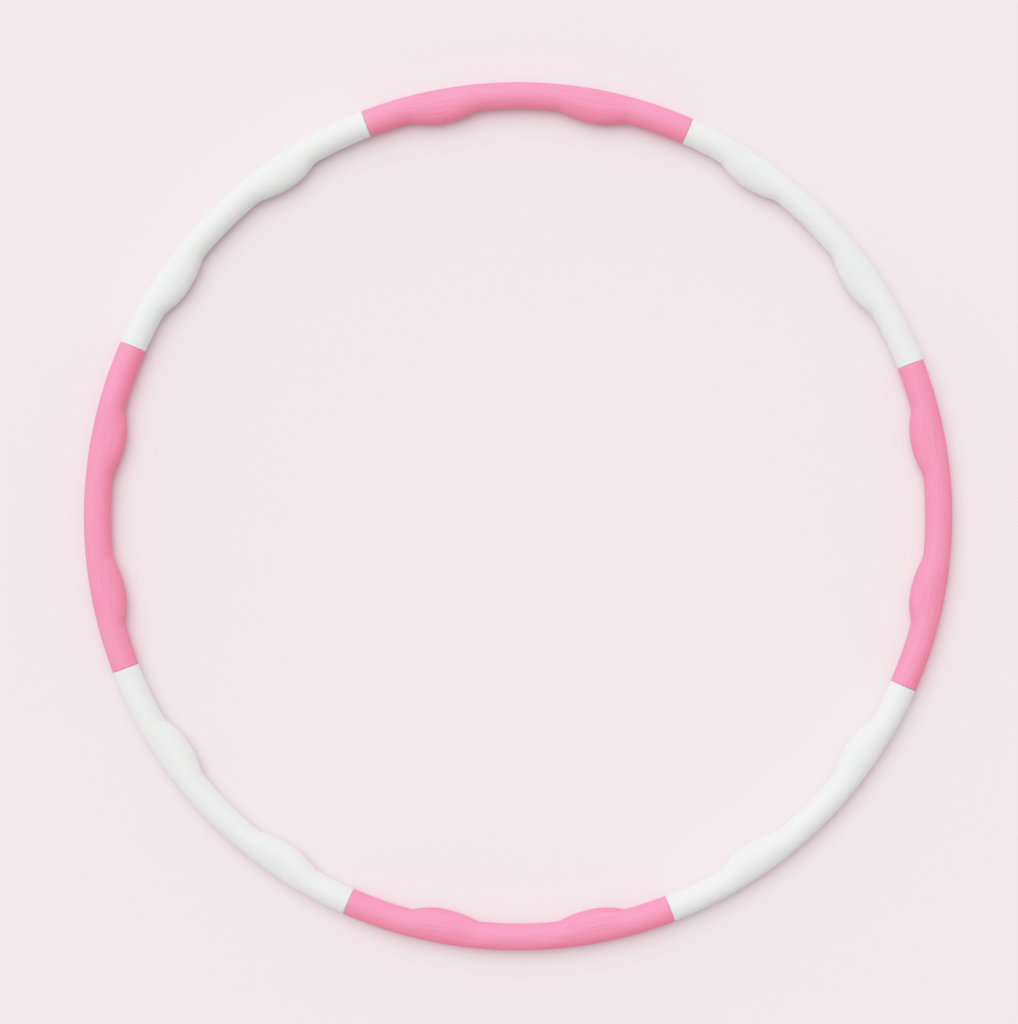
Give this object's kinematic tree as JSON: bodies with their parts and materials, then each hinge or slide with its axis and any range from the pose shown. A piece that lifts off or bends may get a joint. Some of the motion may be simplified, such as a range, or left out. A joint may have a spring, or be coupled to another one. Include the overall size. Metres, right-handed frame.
{
  "type": "take-apart exercise hoop",
  "caption": "Large foam-covered exercise hoop of bent tube sections with inner bumps, plugged end to end and locked by spring clips with push buttons.",
  "frame": {"origin": "middle of the ring, on its axis and at mid thickness", "axes": "+Z along the ring's axis, out of the side without buttons, which is the side the picture shows; +Y is up in the picture, so section 1, the lowest pink one there, is centred on -Y, and the sections are numbered anticlockwise seen from +Z. The hoop rests flat on z = -0.01475."},
  "size_m": [0.95, 0.95, 0.0296],
  "materials": {
    "foam_pink": "matte",
    "foam_white": "matte",
    "tube_plastic": "satin",
    "plug_plastic": "satin",
    "pin_steel": "satin",
    "spring_steel": "polished",
    "bezel_plastic": "gloss",
    "button_plastic": "gloss"
  },
  "bodies": {
    "section_1": {"foam_sleeve_1": "foam_pink", "core_tube_1": "tube_plastic", "plug_1": "plug_plastic", "plug_pins_1": "pin_steel", "spring_clip_1": "spring_steel", "button_bezel_1": "bezel_plastic"},
    "button_1": {"release_button_1": "button_plastic"},
    "section_2": {"foam_sleeve_2": "foam_white", "core_tube_2": "tube_plastic", "plug_2": "plug_plastic", "plug_pins_2": "pin_steel", "spring_clip_2": "spring_steel", "button_bezel_2": "bezel_plastic"},
    "button_2": {"release_button_2": "button_plastic"},
    "section_3": {"foam_sleeve_3": "foam_pink", "core_tube_3": "tube_plastic", "plug_3": "plug_plastic", "plug_pins_3": "pin_steel", "spring_clip_3": "spring_steel", "button_bezel_3": "bezel_plastic"},
    "button_3": {"release_button_3": "button_plastic"},
    "section_4": {"foam_sleeve_4": "foam_white", "core_tube_4": "tube_plastic", "plug_4": "plug_plastic", "plug_pins_4": "pin_steel", "spring_clip_4": "spring_steel", "button_bezel_4": "bezel_plastic"},
    "button_4": {"release_button_4": "button_plastic"},
    "section_5": {"foam_sleeve_5": "foam_pink", "core_tube_5": "tube_plastic", "plug_5": "plug_plastic", "plug_pins_5": "pin_steel", "spring_clip_5": "spring_steel", "button_bezel_5": "bezel_plastic"},
    "button_5": {"release_button_5": "button_plastic"},
    "section_6": {"foam_sleeve_6": "foam_white", "core_tube_6": "tube_plastic", "plug_6": "plug_plastic", "plug_pins_6": "pin_steel", "spring_clip_6": "spring_steel", "button_bezel_6": "bezel_plastic"},
    "button_6": {"release_button_6": "button_plastic"},
    "section_7": {"foam_sleeve_7": "foam_pink", "core_tube_7": "tube_plastic", "plug_7": "plug_plastic", "plug_pins_7": "pin_steel", "spring_clip_7": "spring_steel", "button_bezel_7": "bezel_plastic"},
    "button_7": {"release_button_7": "button_plastic"},
    "section_8": {"foam_sleeve_8": "foam_white", "core_tube_8": "tube_plastic", "plug_8": "plug_plastic", "plug_pins_8": "pin_steel", "spring_clip_8": "spring_steel", "button_bezel_8": "bezel_plastic"},
    "button_8": {"release_button_8": "button_plastic"}
  },
  "joints": [
    {"name": "pull_apart_1_2", "type": "slide", "parent": "section_1", "child": "section_2", "axis": [0.9239, 0.3827, 0], "range_m": [0, 0.032]},
    {"name": "pull_apart_2_3", "type": "slide", "parent": "section_2", "child": "section_3", "axis": [0.3827, 0.9239, 0], "range_m": [0, 0.032]},
    {"name": "pull_apart_3_4", "type": "slide", "parent": "section_3", "child": "section_4", "axis": [-0.3827, 0.9239, 0], "range_m": [0, 0.032]},
    {"name": "pull_apart_4_5", "type": "slide", "parent": "section_4", "child": "section_5", "axis": [-0.9239, 0.3827, 0], "range_m": [0, 0.032]},
    {"name": "pull_apart_5_6", "type": "slide", "parent": "section_5", "child": "section_6", "axis": [-0.9239, -0.3827, 0], "range_m": [0, 0.032]},
    {"name": "pull_apart_6_7", "type": "slide", "parent": "section_6", "child": "section_7", "axis": [-0.3827, -0.9239, 0], "range_m": [0, 0.032]},
    {"name": "pull_apart_7_8", "type": "slide", "parent": "section_7", "child": "section_8", "axis": [0.3827, -0.9239, 0], "range_m": [0, 0.032]},
    {"name": "press_button_1", "type": "slide", "parent": "section_1", "child": "button_1", "axis": [0, 0, 1], "range_m": [0, 0.0017], "stiffness_N_per_m": 1200, "springref_m": -0.0008, "deforming": ["spring_clip_8"]},
    {"name": "press_button_2", "type": "slide", "parent": "section_2", "child": "button_2", "axis": [0, 0, 1], "range_m": [0, 0.0017], "stiffness_N_per_m": 1200, "springref_m": -0.0008, "deforming": ["spring_clip_1"]},
    {"name": "press_button_3", "type": "slide", "parent": "section_3", "child": "button_3", "axis": [0, 0, 1], "range_m": [0, 0.0017], "stiffness_N_per_m": 1200, "springref_m": -0.0008, "deforming": ["spring_clip_2"]},
    {"name": "press_button_4", "type": "slide", "parent": "section_4", "child": "button_4", "axis": [0, 0, 1], "range_m": [0, 0.0017], "stiffness_N_per_m": 1200, "springref_m": -0.0008, "deforming": ["spring_clip_3"]},
    {"name": "press_button_5", "type": "slide", "parent": "section_5", "child": "button_5", "axis": [0, 0, 1], "range_m": [0, 0.0017], "stiffness_N_per_m": 1200, "springref_m": -0.0008, "deforming": ["spring_clip_4"]},
    {"name": "press_button_6", "type": "slide", "parent": "section_6", "child": "button_6", "axis": [0, 0, 1], "range_m": [0, 0.0017], "stiffness_N_per_m": 1200, "springref_m": -0.0008, "deforming": ["spring_clip_5"]},
    {"name": "press_button_7", "type": "slide", "parent": "section_7", "child": "button_7", "axis": [0, 0, 1], "range_m": [0, 0.0017], "stiffness_N_per_m": 1200, "springref_m": -0.0008, "deforming": ["spring_clip_6"]},
    {"name": "press_button_8", "type": "slide", "parent": "section_8", "child": "button_8", "axis": [0, 0, 1], "range_m": [0, 0.0017], "stiffness_N_per_m": 1200, "springref_m": -0.0008, "deforming": ["spring_clip_7"]}
  ],
  "couplings": [
    {"joint": "pull_apart_2_3", "follows": "pull_apart_1_2", "ratio": 1},
    {"joint": "pull_apart_3_4", "follows": "pull_apart_1_2", "ratio": 1},
    {"joint": "pull_apart_4_5", "follows": "pull_apart_1_2", "ratio": 1},
    {"joint": "pull_apart_5_6", "follows": "pull_apart_1_2", "ratio": 1},
    {"joint": "pull_apart_6_7", "follows": "pull_apart_1_2", "ratio": 1},
    {"joint": "pull_apart_7_8", "follows": "pull_apart_1_2", "ratio": 1}
  ]
}
